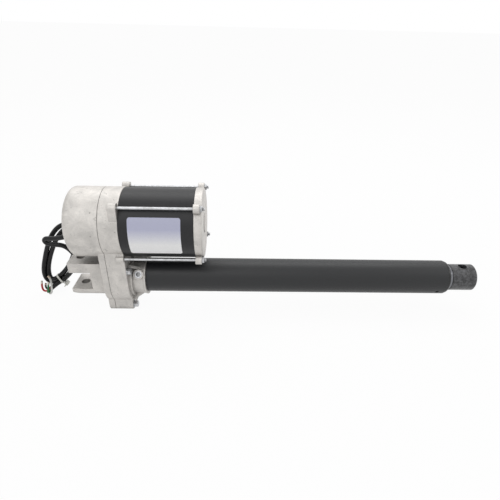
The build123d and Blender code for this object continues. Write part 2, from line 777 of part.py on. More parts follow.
with BuildPart() as brake_coil_housing:
    ring(coil_start, coil_end, brake_coil_radius, brake_bore, motor_axis)
    ring(coil_start + brake_coil_floor, coil_end, brake_coil_outer, brake_coil_inner, motor_axis, Mode.SUBTRACT)
    disc(coil_end - brake_spring_length, coil_end, brake_spring_radius + running_gap, spring_spots, Mode.SUBTRACT)
brake_coil_housing.part.label = "brake_coil_housing"
export_step(brake_coil_housing.part, "parts/brake_coil_housing.step")

with BuildPart() as brake_coil:
    ring(coil_start + brake_coil_floor, coil_end - brake_pad_gap, brake_coil_outer - seat_gap,
         brake_coil_inner + seat_gap, motor_axis)
brake_coil.part.label = "brake_coil"
export_step(brake_coil.part, "parts/brake_coil.step")

with BuildPart() as brake_springs:
    disc(coil_end - brake_spring_length, coil_end, brake_spring_radius, spring_spots)
brake_springs.part.label = "brake_springs"
export_step(brake_springs.part, "parts/brake_springs.step")

with BuildPart() as brake_standoffs:
    disc(coil_end, pad_face, standoff_radius, standoff_spots)
brake_standoffs.part.label = "brake_standoffs"
export_step(brake_standoffs.part, "parts/brake_standoffs.step")

# Idler
with BuildPart() as idler_shaft:
    disc(case_rear_face - case_wall / 2, chamber_end + case_wall / 2, idler_shaft_radius, idler_spot)
idler_shaft.part.label = "idler_shaft"
export_step(idler_shaft.part, "parts/idler_shaft.step")

with BuildPart() as idler_bushes:
    for start in (wheel_start, output_end - idler_bush_length):
        ring(start, start + idler_bush_length, idler_bore, idler_shaft_radius + running_gap, idler_axis)
idler_bushes.part.label = "idler_bushes"
export_step(idler_bushes.part, "parts/idler_bushes.step")

with BuildPart() as idler_wheel:
    gear(wheel_start, wheel_end, wheel_teeth, first_module, 90, idler_height, idler_hub)
    gear_holes(wheel_start, wheel_end, wheel_hole_circle, idler_height)
idler_wheel.part.label = "idler_wheel"
export_step(idler_wheel.part, "parts/idler_wheel.step")

with BuildPart() as idler_pinion:
    gear(wheel_end, output_end, idler_teeth, second_module, 270 + 180 / idler_teeth, idler_height, idler_bore)
    ring(wheel_start, wheel_end, idler_hub, idler_bore, idler_axis)
idler_pinion.part.label = "idler_pinion"
export_step(idler_pinion.part, "parts/idler_pinion.step")

# Drive screw with its gear, clutch and bearings
with BuildPart() as drive_screw:
    turned([
        (rear_bearing_start, 0), (rear_bearing_start, rear_journal), (chamber_start - washer_step, rear_journal),
        (chamber_start - washer_step, screw_journal), (front_bearing_end, screw_journal),
        (front_bearing_end, thread_radius), (screw_end - thread_chamfer, thread_radius),
        (screw_end, thread_radius - thread_chamfer), (screw_end, 0),
    ], tube_axis)
drive_screw.part.label = "drive_screw"
export_step(drive_screw.part, "parts/drive_screw.step")

with BuildPart() as output_gear:
    gear(output_start, output_end, output_teeth, second_module, 90, 0, screw_journal)
    gear_holes(output_start, output_end, output_hole_circle, 0)
output_gear.part.label = "output_gear"
export_step(output_gear.part, "parts/output_gear.step")

with BuildPart() as clutch_friction_washer:
    ring(output_start - clutch_washer, output_start, clutch_radius, screw_journal, tube_axis)
clutch_friction_washer.part.label = "clutch_friction_washer"
export_step(clutch_friction_washer.part, "parts/clutch_friction_washer.step")

plate_start = output_start - clutch_washer - clutch_plate
with BuildPart() as clutch_pressure_plate:
    ring(plate_start, plate_start + clutch_plate, clutch_radius, screw_journal, tube_axis)
clutch_pressure_plate.part.label = "clutch_pressure_plate"
export_step(clutch_pressure_plate.part, "parts/clutch_pressure_plate.step")

spring_start = plate_start - clutch_spring_stack
spring_middle = (spring_start + plate_start) / 2
spring_inner = clutch_radius - washer_step - clutch_spring_width
with BuildPart() as clutch_springs:
    for face, sheet in ((spring_start, clutch_spring_sheet), (plate_start, -clutch_spring_sheet)):
        turned([
            (face, spring_inner), (face + sheet, spring_inner),
            (spring_middle, clutch_radius - washer_step), (spring_middle - sheet, clutch_radius - washer_step),
        ], tube_axis)
clutch_springs.part.label = "clutch_springs"
export_step(clutch_springs.part, "parts/clutch_springs.step")

with BuildPart() as clutch_adjusting_nut:
    hexagon(spring_start - clutch_nut, spring_start, clutch_radius, tube_spot)
    disc(spring_start - clutch_nut, spring_start, screw_journal, tube_spot, Mode.SUBTRACT)
clutch_adjusting_nut.part.label = "clutch_adjusting_nut"
export_step(clutch_adjusting_nut.part, "parts/clutch_adjusting_nut.step")

with BuildPart() as screw_collar:
    ring(output_end, front_bearing_start, collar_radius, screw_journal, tube_axis)
screw_collar.part.label = "screw_collar"
export_step(screw_collar.part, "parts/screw_collar.step")

with BuildPart() as screw_bearing_rear:
    ball_bearing(rear_bearing_start, rear_bearing_width, rear_bearing_outer, rear_journal + seat_gap, tube_axis)
screw_bearing_rear.part.label = "screw_bearing_rear"
export_step(screw_bearing_rear.part, "parts/screw_bearing_rear.step")

with BuildPart() as screw_bearing_front:
    ball_bearing(front_bearing_start, front_bearing_width, front_bearing_outer, screw_journal + seat_gap, tube_axis)
screw_bearing_front.part.label = "screw_bearing_front"
export_step(screw_bearing_front.part, "parts/screw_bearing_front.step")

with BuildPart() as bearing_retaining_ring:
    ring(front_bearing_start - ring_thickness, front_bearing_start, front_bearing_outer + ring_groove,
         front_bearing_outer - 2 * ring_groove, tube_axis)
bearing_retaining_ring.part.label = "bearing_retaining_ring"
export_step(bearing_retaining_ring.part, "parts/bearing_retaining_ring.step")

with BuildPart() as screw_stop:
    ring(stop_start, stop_end, rod_inner - stop_clearance, thread_radius, tube_axis)
screw_stop.part.label = "screw_stop"
export_step(screw_stop.part, "parts/screw_stop.step")

# Nut, extension tube and rod end
with BuildPart() as drive_nut:
    nut_flange = tube_inner - nut_flange_gap
    turned([
        (nut_start, thread_radius + running_gap), (nut_end, thread_radius + running_gap), (nut_end, rod_inner),
        (nut_step, rod_inner), (nut_step, nut_flange), (nut_start, nut_flange),
    ], tube_axis)
drive_nut.part.label = "drive_nut"
export_step(drive_nut.part, "parts/drive_nut.step")

with BuildPart() as extension_tube:
    ring(nut_step, rod_end_start, rod_outer, rod_inner, tube_axis)
    upright_hole(rod_pin_x, rod_pin_radius, rod_outer)
extension_tube.part.label = "extension_tube"
export_step(extension_tube.part, "parts/extension_tube.step")

with BuildPart() as rod_end:
    turned([
        (rod_end_start - rod_spigot, 0), (rod_end_start - rod_spigot, rod_inner), (rod_end_start, rod_inner),
        (rod_end_start, rod_end_radius - rod_end_lip), (rod_end_start + rod_end_lip, rod_end_radius),
        (rod_end_face - rod_end_edge, rod_end_radius), (rod_end_face, rod_end_radius - rod_end_edge),
        (rod_end_face, 0),
    ], tube_axis)
    upright_hole(pin_to_pin, mount_hole / 2, rod_end_radius)
    upright_hole(rod_pin_x, rod_pin_radius, rod_end_radius)
rod_end.part.label = "rod_end"
export_step(rod_end.part, "parts/rod_end.step")

with BuildPart() as rod_end_pin:
    with BuildSketch(Plane.XY) as pin_section:
        with Locations((rod_pin_x, 0)):
            Circle(rod_pin_radius)
    extrude(amount=rod_outer - rod_pin_recess, both=True)
rod_end_pin.part.label = "rod_end_pin"
export_step(rod_end_pin.part, "parts/rod_end_pin.step")

# Cover tube, bush and wiper
with BuildPart() as cover_tube:
    ring(tube_start, tube_end, tube_outer, tube_inner, tube_axis)
    for angle in bush_screw_angles:
        radial_bar(bush_screw_x, 0, tube_outer, bush_screw_radius, angle, Mode.SUBTRACT)
cover_tube.part.label = "cover_tube"
export_step(cover_tube.part, "parts/cover_tube.step")

with BuildPart() as guide_bush:
    ring(tube_end, bush_face, bush_nose_radius, rod_outer + running_gap, tube_axis)
    fillet(guide_bush.edges().group_by(Axis.X)[-1].sort_by(SortBy.RADIUS)[-1], bush_nose_edge)
    ring(bush_start, tube_end, tube_inner, rod_outer + running_gap, tube_axis)
    ring(bush_face - wiper_depth, bush_face, rod_outer + wiper_width, rod_outer, tube_axis, Mode.SUBTRACT)
    for angle in bush_screw_angles:
        radial_bar(bush_screw_x, rod_outer + bush_screw_depth, tube_outer, bush_screw_radius, angle, Mode.SUBTRACT)
guide_bush.part.label = "guide_bush"
export_step(guide_bush.part, "parts/guide_bush.step")

with BuildPart() as rod_wiper:
    ring(bush_face - wiper_depth, bush_face - wiper_recess, rod_outer + wiper_width, rod_outer + running_gap, tube_axis)
rod_wiper.part.label = "rod_wiper"
export_step(rod_wiper.part, "parts/rod_wiper.step")

with BuildPart() as bush_set_screws:
    screw_top = tube_outer - bush_screw_recess
    for angle in bush_screw_angles:
        radial_bar(bush_screw_x, rod_outer + bush_screw_depth, screw_top, bush_screw_radius, angle)
        radial_socket(bush_screw_x, screw_top - socket_depth, screw_top, bush_socket, angle)
bush_set_screws.part.label = "bush_set_screws"
export_step(bush_set_screws.part, "parts/bush_set_screws.step")

with BuildPart() as tube_set_screw:
    screw_top = tube_outer + tube_screw_pad_height - tube_screw_recess
    radial_bar(tube_screw_x, tube_outer + running_gap, screw_top, tube_screw_radius, tube_screw_angle)
    radial_socket(tube_screw_x, screw_top - tube_socket_depth, screw_top, tube_socket, tube_screw_angle)
tube_set_screw.part.label = "tube_set_screw"
export_step(tube_set_screw.part, "parts/tube_set_screw.step")

# Cable gland, cable, hank, tie and conductors
with BuildPart() as cable_gland:
    hexagon(can_end - gland_hex_height, can_end, gland_hex, gland_spot)
    disc(can_end - gland_length, can_end - gland_hex_height, gland_radius, gland_spot)
    disc(can_end, can_end + can_wall + gland_thread_spare, gland_thread, gland_spot)
    disc(can_end - gland_length, can_end + can_wall + gland_thread_spare, cable_radius, gland_spot, Mode.SUBTRACT)
cable_gland.part.label = "cable_gland"
export_step(cable_gland.part, "parts/cable_gland.step")

with BuildPart() as gland_lock_nut:
    hexagon(can_end + can_wall, can_end + can_wall + gland_nut_height, gland_hex, gland_spot)
    disc(can_end + can_wall, can_end + can_wall + gland_nut_height, gland_thread, gland_spot, Mode.SUBTRACT)
gland_lock_nut.part.label = "gland_lock_nut"
export_step(gland_lock_nut.part, "parts/gland_lock_nut.step")

with BuildPart() as cable_hank:
    before = hank_route[-1:] + hank_route[:-1]
    after = hank_route[1:] + hank_route[:1]
    hank_radii = [corner_radius(*corner) for corner in zip(before, hank_route, after)]
    print("cable_hank radii", [round(r, 1) for r in hank_radii])
    for edge, mode in ((hank_width / 2, Mode.ADD), (-hank_width / 2, Mode.SUBTRACT)):
        with BuildSketch(Plane.XZ.offset(-hank_side - hank_depth / 2)) as hank_loop:
            with BuildLine():
                FilletPolyline(*hank_route, radius=hank_radii, close=True)
            make_face()
            offset(amount=edge)
        extrude(amount=hank_depth, mode=mode)
    fillet(cable_hank.faces().filter_by(Axis.Y).edges(), hank_edge)
cable_hank.part.label = "cable_hank"
export_step(cable_hank.part, "parts/cable_hank.step")

with BuildPart() as cable_lead:
    cord(lead_route, cable_radius, "cable_lead")
cable_lead.part.label = "cable_lead"
export_step(cable_lead.part, "parts/cable_lead.step")

with BuildPart() as cable_tail:
    cord(tail_route, cable_radius, "cable_tail")
cable_tail.part.label = "cable_tail"
export_step(cable_tail.part, "parts/cable_tail.step")

with BuildPart() as cable_tie:
    along = Vector(cos(radians(tie_slope)), 0, sin(radians(tie_slope)))
    across = Vector(-along.Z, 0, along.X)
    middle = Vector(tie_place[0], hank_side, tie_place[1])
    with BuildSketch(Plane(middle - along * (tie_width / 2), x_dir=across, z_dir=along)) as tie_band:
        RectangleRounded(hank_width + 2 * tie_gap, hank_depth + 2 * tie_gap, hank_edge + tie_gap)
        offset(amount=tie_thickness)
        RectangleRounded(hank_width + 2 * tie_gap, hank_depth + 2 * tie_gap, hank_edge + tie_gap, mode=Mode.SUBTRACT)
    extrude(amount=tie_width)
    head_centre = middle - along * (tie_width / 2 + tie_gap) - across * (hank_width / 2 + tie_head_offset)
    with BuildSketch(Plane(head_centre, x_dir=across, z_dir=along)) as head_section:
        Rectangle(*tie_head)
    extrude(amount=tie_width + 2 * tie_gap)
cable_tie.part.label = "cable_tie"
export_step(cable_tie.part, "parts/cable_tie.step")

with BuildPart() as cable_conductors:
    tail_end = Vector(*tail_route[-1])
    tail_heading = (tail_end - Vector(*tail_route[-2])).normalized()
    tail_side = tail_heading.cross(Vector(0, 1, 0)).normalized()
    tail_back = tail_side.cross(tail_heading)
    for colour, (side, back, route) in conductor_routes.items():
        start = tail_end + (tail_side * side + tail_back * back) * conductor_pitch + tail_heading * seat_gap
        bend = start + tail_heading * conductor_exit
        cord([(start.X, start.Y, start.Z), (bend.X, bend.Y, bend.Z), *route], conductor_radius, colour)
cable_conductors.part.label = "cable_conductors"
export_step(cable_conductors.part, "parts/cable_conductors.step")
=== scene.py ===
import json
from math import cos, pi, radians, sin

import bmesh
import bpy
from mathutils import Matrix, Vector


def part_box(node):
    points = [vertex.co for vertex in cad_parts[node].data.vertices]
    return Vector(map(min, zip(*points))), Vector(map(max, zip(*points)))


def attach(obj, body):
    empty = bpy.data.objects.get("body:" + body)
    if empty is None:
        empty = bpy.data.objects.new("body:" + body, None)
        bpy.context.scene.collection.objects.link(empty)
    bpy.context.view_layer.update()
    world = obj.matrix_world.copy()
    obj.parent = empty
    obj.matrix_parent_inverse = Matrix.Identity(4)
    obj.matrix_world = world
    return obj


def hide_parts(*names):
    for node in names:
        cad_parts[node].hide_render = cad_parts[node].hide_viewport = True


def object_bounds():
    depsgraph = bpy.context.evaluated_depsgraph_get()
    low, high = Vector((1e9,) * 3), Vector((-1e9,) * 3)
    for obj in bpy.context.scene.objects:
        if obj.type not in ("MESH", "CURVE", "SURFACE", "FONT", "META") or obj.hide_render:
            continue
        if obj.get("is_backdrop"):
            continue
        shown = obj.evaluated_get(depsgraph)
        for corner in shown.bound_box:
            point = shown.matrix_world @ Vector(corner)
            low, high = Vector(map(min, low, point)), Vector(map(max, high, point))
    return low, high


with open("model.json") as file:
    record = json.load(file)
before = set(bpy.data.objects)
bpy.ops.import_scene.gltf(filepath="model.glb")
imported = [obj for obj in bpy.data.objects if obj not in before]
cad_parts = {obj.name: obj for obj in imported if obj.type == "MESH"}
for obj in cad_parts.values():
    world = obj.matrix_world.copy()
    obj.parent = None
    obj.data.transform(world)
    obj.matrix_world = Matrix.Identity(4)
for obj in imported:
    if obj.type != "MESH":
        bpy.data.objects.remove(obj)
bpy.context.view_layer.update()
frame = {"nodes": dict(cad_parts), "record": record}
mm = 0.001
print("frame loaded:", len(frame["nodes"]), "nodes")


# Small helpers for node trees, meshes and pieces

def linear(red, green, blue):
    # colour as seen on screen, 0 to 255, to the renderer's linear values
    channels = [value / 255 for value in (red, green, blue)]
    return tuple(c / 12.92 if c <= 0.04045 else ((c + 0.055) / 1.055) ** 2.4 for c in channels) + (1.0,)


def addNode(tree, kind, inputs=None, **settings):
    node = tree.nodes.new(kind)
    for name, value in settings.items():
        setattr(node, name, value)
    for name, value in (inputs or {}).items():
        feed(tree, node.inputs[name], value)
    return node


def feed(tree, socket, value):
    if isinstance(value, bpy.types.NodeSocket):
        tree.links.new(value, socket)
    else:
        socket.default_value = value


def spot(x, y, z):
    return Vector((x, y, z)) * mm


def place(obj, body, material=None, replaced=()):
    if material:
        obj.data.materials.clear()
        obj.data.materials.append(material)
    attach(obj, body)
    if replaced:
        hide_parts(*replaced)
    return obj


def meshPiece(name, build):
    # runs a function that fills a bmesh, then makes the object
    work = bmesh.new()
    build(work)
    bmesh.ops.remove_doubles(work, verts=work.verts, dist=1e-6)
    bmesh.ops.recalc_face_normals(work, faces=work.faces)
    mesh = bpy.data.meshes.new(name)
    work.to_mesh(mesh)
    work.free()
    obj = bpy.data.objects.new(name, mesh)
    bpy.context.scene.collection.objects.link(obj)
    return obj


def smoothShade(obj, angle=35):
    obj.data.shade_smooth()
    obj.data.set_sharp_from_angle(angle=radians(angle))
    return obj


# Camera, at the height and tilt of the picture

cameraSettings = {
    "place": (0.23406, -0.52397, 0.34759), "yaw": 1.73, "fall": 30.07, "roll": 1.52,
    "lens": 29.52, "sensor": 36.0,
}


def makeCamera():
    yaw = radians(cameraSettings["yaw"])
    fall = radians(cameraSettings["fall"])
    roll = radians(cameraSettings["roll"])
    ahead = Vector((sin(yaw) * cos(fall), cos(yaw) * cos(fall), -sin(fall)))
    right = ahead.cross(Vector((0, 0, 1))).normalized()
    up = right.cross(ahead)
    tiltedRight = right * cos(roll) + up * sin(roll)
    tiltedUp = up * cos(roll) - right * sin(roll)
    camera = bpy.data.objects.new("camera", bpy.data.cameras.new("camera"))
    camera.data.lens = cameraSettings["lens"]
    camera.data.sensor_width = cameraSettings["sensor"]
    camera.matrix_world = Matrix.Translation(cameraSettings["place"]) @ Matrix(
        (tiltedRight, tiltedUp, -ahead)).transposed().to_4x4()
    bpy.context.scene.collection.objects.link(camera)
    bpy.context.scene.camera = camera


makeCamera()
print("camera set")


# Finishes. Every pattern reads Object coordinates, in metres

def startFinish(name):
    material = bpy.data.materials.new(name)
    material.use_nodes = True
    tree = material.node_tree
    where = addNode(tree, "ShaderNodeTexCoord").outputs["Object"]
    return material, tree, tree.nodes["Principled BSDF"], where


def noise(tree, where, scale, detail=3.0, roughness=0.6, distortion=0.0):
    node = addNode(tree, "ShaderNodeTexNoise", {
        "Vector": where, "Scale": scale, "Detail": detail, "Roughness": roughness, "Distortion": distortion})
    return node.outputs["Fac"]


def stretched(tree, where, scale):
    return addNode(tree, "ShaderNodeMapping", {"Vector": where, "Scale": scale}).outputs["Vector"]


def remap(tree, value, low, high, outLow=0.0, outHigh=1.0):
    node = addNode(tree, "ShaderNodeMapRange", {
        "Value": value, "From Min": low, "From Max": high, "To Min": outLow, "To Max": outHigh})
    return node.outputs["Result"]


def blendColour(tree, amount, first, second):
    node = addNode(tree, "ShaderNodeMix", data_type="RGBA", blend_type="MIX")
    feed(tree, node.inputs["Factor"], amount)
    feed(tree, node.inputs[6], first)
    feed(tree, node.inputs[7], second)
    return node.outputs[2]


def bumped(tree, height, strength, distance, normal=None):
    node = addNode(tree, "ShaderNodeBump", {"Height": height, "Strength": strength, "Distance": distance})
    if normal:
        feed(tree, node.inputs["Normal"], normal)
    return node.outputs["Normal"]


def softEdges(tree, radius):
    return addNode(tree, "ShaderNodeBevel", {"Radius": radius}, samples=6).outputs["Normal"]


def paintedShade(tree, tone, distance, depth):
    # painted shade: the colour darkens towards near black in corners, sockets and under overhangs, by ambient
    # occlusion
    openness = addNode(tree, "ShaderNodeAmbientOcclusion", {"Distance": distance}, samples=6).outputs["AO"]
    return blendColour(tree, remap(tree, openness, 0.15, 0.8, depth, 0.0), tone, (0.02, 0.02, 0.02, 1.0))


def castFinish(name, light, dark, stain, edge=0.0011):
    # as-cast alloy: fine grain, cloudy tone, a few dark marks
    material, tree, shader, where = startFinish(name)
    clouds = noise(tree, where, 55.0, 5.0, 0.65, 0.4)
    mottle = noise(tree, where, 520.0, 4.0, 0.7)
    grain = noise(tree, where, 1900.0, 2.0, 0.6)
    marks = noise(tree, where, 190.0, 2.0, 0.5, 1.5)
    tone = blendColour(tree, remap(tree, clouds, 0.35, 0.68), light, dark)
    tone = blendColour(tree, remap(tree, mottle, 0.3, 0.75, 0.0, 0.45), tone, dark)
    tone = blendColour(tree, remap(tree, marks, 0.66, 0.74, 0.0, 0.5), tone, stain)
    # painted shade in corners and under the motor, darkening the alloy's colour
    feed(tree, shader.inputs["Base Color"], paintedShade(tree, tone, 0.03, 0.6))
    feed(tree, shader.inputs["Roughness"], remap(tree, mottle, 0.3, 0.7, 0.44, 0.62))
    shader.inputs["Metallic"].default_value = 0.72
    shader.inputs["Specular IOR Level"].default_value = 0.4
    rounded = softEdges(tree, edge)
    coarse = bumped(tree, mottle, 0.35, 0.0003, rounded)
    feed(tree, shader.inputs["Normal"], bumped(tree, grain, 0.3, 0.00012, coarse))
    return material


def paintFinish(name, colour, worn, rough, peelScale, peel, dapple=0.2, edge=0.0006, gloss=0.35):
    # sprayed or powder-coated paint with orange peel and faint dust
    material, tree, shader, where = startFinish(name)
    peelNoise = noise(tree, where, peelScale, 2.0, 0.5)
    patches = noise(tree, where, 240.0, 5.0, 0.7, 0.3)
    dust = noise(tree, where, 2600.0, 1.0, 0.4)
    tone = blendColour(tree, remap(tree, patches, 0.4, 0.7, 0.0, dapple), colour, worn)
    tone = blendColour(tree, remap(tree, dust, 0.7, 0.78, 0.0, 0.35), tone, worn)
    feed(tree, shader.inputs["Base Color"], tone)
    feed(tree, shader.inputs["Roughness"], remap(tree, patches, 0.3, 0.7, rough - 0.05, rough + 0.07))
    shader.inputs["Specular IOR Level"].default_value = gloss
    feed(tree, shader.inputs["Normal"], bumped(tree, peelNoise, peel, 0.00015, softEdges(tree, edge)))
    return material


def metalFinish(name, colour, tarnish, rough, lines=(1.0, 1.0, 1.0), lineScale=900.0, edge=0.0003, cut=0.12):
    # machined or plated metal, its tool marks stretched along one way
    material, tree, shader, where = startFinish(name)
    marks = noise(tree, stretched(tree, where, lines), lineScale, 3.0, 0.6)
    film = noise(tree, where, 160.0, 4.0, 0.6, 0.5)
    tone = blendColour(tree, remap(tree, film, 0.35, 0.7), colour, tarnish)
    # painted shade in sockets and recesses, darkening the metal's colour
    feed(tree, shader.inputs["Base Color"], paintedShade(tree, tone, 0.005, 0.9))
    feed(tree, shader.inputs["Roughness"], remap(tree, marks, 0.3, 0.7, rough - 0.05, rough + 0.1))
    shader.inputs["Metallic"].default_value = 1.0
    feed(tree, shader.inputs["Normal"], bumped(tree, marks, cut, 0.0001, softEdges(tree, edge)))
    return material


def mouldedFinish(name, colour, second, rough, scale=1400.0, depth=0.2, gloss=0.5):
    # plastic, rubber, paper or lining with an even fine texture
    material, tree, shader, where = startFinish(name)
    texture = noise(tree, where, scale, 3.0, 0.6)
    drift = noise(tree, where, 90.0, 3.0, 0.5)
    feed(tree, shader.inputs["Base Color"], blendColour(tree, remap(tree, drift, 0.35, 0.7), colour, second))
    feed(tree, shader.inputs["Roughness"], remap(tree, texture, 0.3, 0.7, rough - 0.06, rough + 0.06))
    shader.inputs["Specular IOR Level"].default_value = gloss
    feed(tree, shader.inputs["Normal"], bumped(tree, texture, depth, 0.0001, softEdges(tree, 0.0004)))
    return material


def windingFinish(name, colour, second):
    # enamelled wire laid round the motor axis
    material, tree, shader, where = startFinish(name)
    turns = addNode(tree, "ShaderNodeTexWave", {
        "Vector": where, "Scale": 320.0, "Distortion": 1.5, "Detail": 2.0,
    }, wave_type="BANDS", bands_direction="X").outputs["Fac"]
    feed(tree, shader.inputs["Base Color"], blendColour(tree, turns, second, colour))
    shader.inputs["Metallic"].default_value = 0.85
    shader.inputs["Roughness"].default_value = 0.32
    shader.inputs["Coat Weight"].default_value = 0.3
    feed(tree, shader.inputs["Normal"], bumped(tree, turns, 0.6, 0.0004))
    return material


def laminatedFinish(name, colour, second):
    # stacked sheets, seen on edge as fine bands along X
    material, tree, shader, where = startFinish(name)
    sheets = addNode(tree, "ShaderNodeTexWave", {
        "Vector": where, "Scale": 315.0, "Distortion": 0.2,
    }, wave_type="BANDS", bands_direction="X").outputs["Fac"]
    feed(tree, shader.inputs["Base Color"], blendColour(tree, remap(tree, sheets, 0.0, 0.3), second, colour))
    shader.inputs["Metallic"].default_value = 0.9
    shader.inputs["Roughness"].default_value = 0.45
    feed(tree, shader.inputs["Normal"], bumped(tree, sheets, 0.5, 0.0002))
    return material


labelSettings = {
    "tint": (198, 200, 224), "paper": (255, 255, 255), "speck": (150, 152, 165),
    "fadeLow": 0.078, "fadeHigh": 0.1,
}


def labelFinish(name):
    # bare film: tinted above, white below, fading between, with a faint speckle
    material, tree, shader, where = startFinish(name)
    height = addNode(tree, "ShaderNodeSeparateXYZ", {"Vector": where}).outputs["Z"]
    fade = remap(tree, height, labelSettings["fadeLow"], labelSettings["fadeHigh"])
    speckle = noise(tree, where, 900.0, 2.0, 0.5)
    tone = blendColour(tree, fade, linear(*labelSettings["paper"]), linear(*labelSettings["tint"]))
    tone = blendColour(tree, remap(tree, speckle, 0.4, 0.7, 0.0, 0.12), tone, linear(*labelSettings["speck"]))
    feed(tree, shader.inputs["Base Color"], tone)
    feed(tree, shader.inputs["Roughness"], remap(tree, speckle, 0.3, 0.7, 0.28, 0.38))
    shader.inputs["Specular IOR Level"].default_value = 0.45
    feed(tree, shader.inputs["Normal"], bumped(tree, noise(tree, where, 120.0, 2.0), 0.08, 0.0003))
    return material


turnedAboutX = (60.0, 1.0, 1.0)
drawnAlongX = (0.02, 1.0, 1.0)
finishes = {
    "cast_alloy": castFinish(
        "castAlloy", linear(224, 220, 215), linear(196, 193, 189), linear(114, 110, 106)),
    "gasket_paper": mouldedFinish("gasketPaper", linear(70, 62, 54), linear(52, 47, 42), 0.8),
    "zinc_steel": metalFinish("zincSteel", linear(204, 205, 208), linear(170, 171, 171), 0.3, drawnAlongX),
    "bright_steel": metalFinish(
        "brightSteel", linear(205, 206, 208), linear(178, 179, 181), 0.2, turnedAboutX),
    "gear_steel": metalFinish("gearSteel", linear(150, 149, 147), linear(118, 115, 112), 0.32),
    "black_steel": metalFinish("blackSteel", linear(58, 58, 61), linear(38, 38, 40), 0.36),
    "black_enamel": paintFinish("blackEnamel", linear(34, 34, 36), linear(58, 58, 60), 0.4, 700.0, 0.25),
    "tube_paint": paintFinish(
        "tubePaint", linear(30, 31, 33), linear(43, 44, 46), 0.44, 1300.0, 0.35, dapple=0.25, gloss=0.5),
    "rod_paint": paintFinish(
        "rodPaint", linear(34, 34, 36), linear(110, 110, 113), 0.3, 420.0, 0.5,
        dapple=0.8, edge=0.0008, gloss=0.6),
    "rod_steel": metalFinish(
        "rodSteel", linear(128, 129, 133), linear(116, 117, 121), 0.16, turnedAboutX, 500.0, cut=0.03),
    "core_steel": laminatedFinish("coreSteel", linear(128, 130, 134), linear(52, 50, 50)),
    "cage_alloy": metalFinish("cageAlloy", linear(200, 200, 198), linear(170, 169, 166), 0.4),
    "copper": windingFinish("windingCopper", linear(196, 104, 52), linear(110, 46, 20)),
    "bronze": metalFinish("bronze", linear(186, 142, 84), linear(150, 108, 62), 0.34, turnedAboutX),
    "friction_lining": mouldedFinish(
        "frictionLining", linear(92, 78, 64), linear(58, 50, 44), 0.85, 900.0, 0.6),
    "black_polymer": mouldedFinish("blackPolymer", linear(18, 18, 19), linear(26, 26, 28), 0.2, 1600.0, 0.08),
    "seal_rubber": mouldedFinish("sealRubber", linear(24, 24, 25), linear(32, 32, 33), 0.55, 1200.0, 0.25),
    "label_film": labelFinish("labelFilm"),
    "cable_jacket": mouldedFinish(
        "cableJacket", linear(12, 12, 14), linear(20, 20, 22), 0.22, 700.0, 0.16, gloss=0.28),
    "white_nylon": mouldedFinish(
        "whiteNylon", linear(232, 232, 226), linear(216, 216, 208), 0.34, 1100.0, 0.1),
    "wire_insulation": mouldedFinish("wireInsulation", linear(36, 36, 38), linear(48, 48, 50), 0.35),
}
wireColours = {"red": (206, 34, 32), "black": (30, 30, 32), "green": (22, 118, 62), "white": (228, 228, 224)}
wireShade = 0.86
wireFinishes = {
    colour: mouldedFinish(
        colour + "Insulation", linear(*tone), linear(*[wireShade * value for value in tone]), 0.34)
    for colour, tone in wireColours.items()}
tinnedFinish = metalFinish("tinnedCopper", linear(206, 200, 190), linear(176, 160, 140), 0.3, drawnAlongX)


def dressNodes():
    for part in frame["record"]["subparts"]:
        node = frame["nodes"][part["node"]]
        for materialSlot in node.material_slots:
            materialSlot.material = finishes[part["material_slot"]]


dressNodes()
print("finishes made:", len(finishes) + len(wireFinishes) + 1)


# Cable: out of the gland, one flat U-turn, a hank of two turns and a bit, then the cut end

# millimetres and degrees, with the length in metres
cableSettings = {
    "diameter": 7.2, "length": 0.69, "side": 30.0, "startIndex": 7, "steps": 40,
    "firstAngle": 46.0, "twist": 120.0, "tight": 4.3, "loose": 6.2, "deep": 4.2,
    "lead": [(-10, 8, 60), (-20, 8.5, 58), (-30, 11, 54.5), (-39, 13.5, 52), (-48, 16, 50.5),
             (-55.5, 18, 49.5), (-58, 18.7, 45), (-55, 19.2, 40.3), (-47, 19, 38.8), (-38, 19, 38.5),
             (-29.5, 21.5, 35), (-22, 25, 22)],
    "loop": [(-40, 56), (-32, 63.5), (-21, 66.5), (-12.5, 62), (-10.5, 50), (-13, 34), (-17.5, 18),
             (-23.5, 3), (-31, -9.5), (-39, -19), (-50.5, -29.2), (-62, -36.5), (-72, -35.5), (-74.5, -25),
             (-72, -10), (-66, 7), (-59.5, 23), (-50.5, 42)],
    "spread": [0.5, 0.3, 0.1, 0.1, 0.1, 0.3, 0.6, 0.8, 0.8, 0.6, 0.3, 0.3, 0.1, -0.2, -0.3, -0.3, 0.0, 0.3],
    "lean": [-80, -60, -40, -20, 0, 0, 0, 0, 0, 0, 0, -20, -50, -75, -90, -95, -95, -90],
    "tail": [(-57.4, 25, -35.8), (-60, 22, -37.5), (-63, 19, -39), (-66, 16.5, -41)],
}


def loopOutward(index):
    # unit vector away from the middle of the loop, in the XZ plane
    loop = cableSettings["loop"]
    before = Vector(loop[(index - 1) % len(loop)])
    after = Vector(loop[(index + 1) % len(loop)])
    along = (after - before).normalized()
    return Vector((-along.y, along.x))


def strandPoint(step):
    loop = cableSettings["loop"]
    index = (cableSettings["startIndex"] + step) % len(loop)
    turn = cableSettings["twist"] * step / len(loop)
    angle = radians(cableSettings["firstAngle"] + turn + cableSettings["lean"][index])
    tight = cableSettings["tight"]
    reach = tight + (cableSettings["loose"] - tight) * cableSettings["spread"][index]
    middle = Vector(loop[index]) + loopOutward(index) * reach * cos(angle)
    return (middle.x, cableSettings["side"] + cableSettings["deep"] * sin(angle), middle.y)


